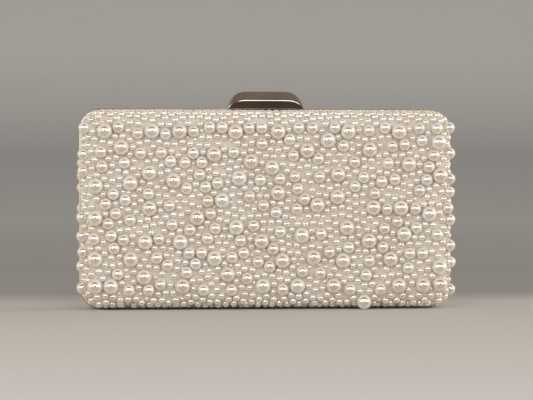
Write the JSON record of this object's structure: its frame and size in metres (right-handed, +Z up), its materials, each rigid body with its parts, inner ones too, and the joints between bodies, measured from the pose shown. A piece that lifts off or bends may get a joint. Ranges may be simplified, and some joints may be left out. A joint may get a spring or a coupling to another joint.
{
  "type": "evening bag",
  "caption": "Rigid box clutch covered in pearls of four sizes: two hinged halves with metal frames, held by a half-moon spring clasp on top.",
  "frame": {"origin": "centre of the footprint, on the surface that the bag stands on", "axes": "+Z up, the front with the pearl face and hook side towards -Y, +X to the right seen from the front"},
  "size_m": [0.1991, 0.0514, 0.1143],
  "materials": {
    "pearl": "pearlescent lacquered imitation pearl, cream",
    "cover_fabric": "woven satin base cloth, grey beige",
    "moulded_shell": "moulded tray, as moulded",
    "satin_lining": "satin, champagne",
    "champagne_metal": "polished, champagne gold anodised",
    "gunmetal": "polished dark bronze gunmetal plating",
    "spring_steel": "bright drawn wire",
    "hardware_steel": "stamped steel, pale gold plating"
  },
  "bodies": {
    "back": {"back_cover": "cover_fabric", "back_frame": "champagne_metal", "back_hinge_leaf_left": "hardware_steel", "back_hinge_leaf_right": "hardware_steel", "back_hinge_rivets": "hardware_steel", "back_lining": "satin_lining", "back_pearls_base": "pearl", "back_pearls_large": "pearl", "back_pearls_medium": "pearl", "back_pearls_small": "pearl", "back_pearls_tiny": "pearl", "back_shell": "moulded_shell", "bracket_rivets": "hardware_steel", "clasp_bracket": "hardware_steel", "clasp_pin": "spring_steel", "hinge_pin_left": "spring_steel", "hinge_pin_right": "spring_steel", "inner_pocket": "satin_lining", "loop_rivets": "hardware_steel", "strap_loop_left": "hardware_steel", "strap_loop_right": "hardware_steel"},
    "front": {"catch_plate": "hardware_steel", "catch_rivets": "hardware_steel", "front_cover": "cover_fabric", "front_frame": "champagne_metal", "front_hinge_leaf_left": "hardware_steel", "front_hinge_leaf_right": "hardware_steel", "front_hinge_rivets": "hardware_steel", "front_lining": "satin_lining", "front_pearls_base": "pearl", "front_pearls_large": "pearl", "front_pearls_medium": "pearl", "front_pearls_small": "pearl", "front_pearls_tiny": "pearl", "front_shell": "moulded_shell"},
    "clasp": {"clasp_lever": "gunmetal", "clasp_hook": "hardware_steel", "clasp_spring": "spring_steel"}
  },
  "joints": [
    {"name": "front_swing", "type": "hinge", "parent": "back", "child": "front", "pos_m": [0, 0, 0.0022], "axis": [1, 0, 0], "range_deg": [0, 60]},
    {"name": "clasp_press", "type": "hinge", "parent": "back", "child": "clasp", "pos_m": [0, 0.0038, 0.0957], "axis": [1, 0, 0], "range_deg": [-14, 0], "stiffness_Nm_per_rad": 0.05}
  ]
}
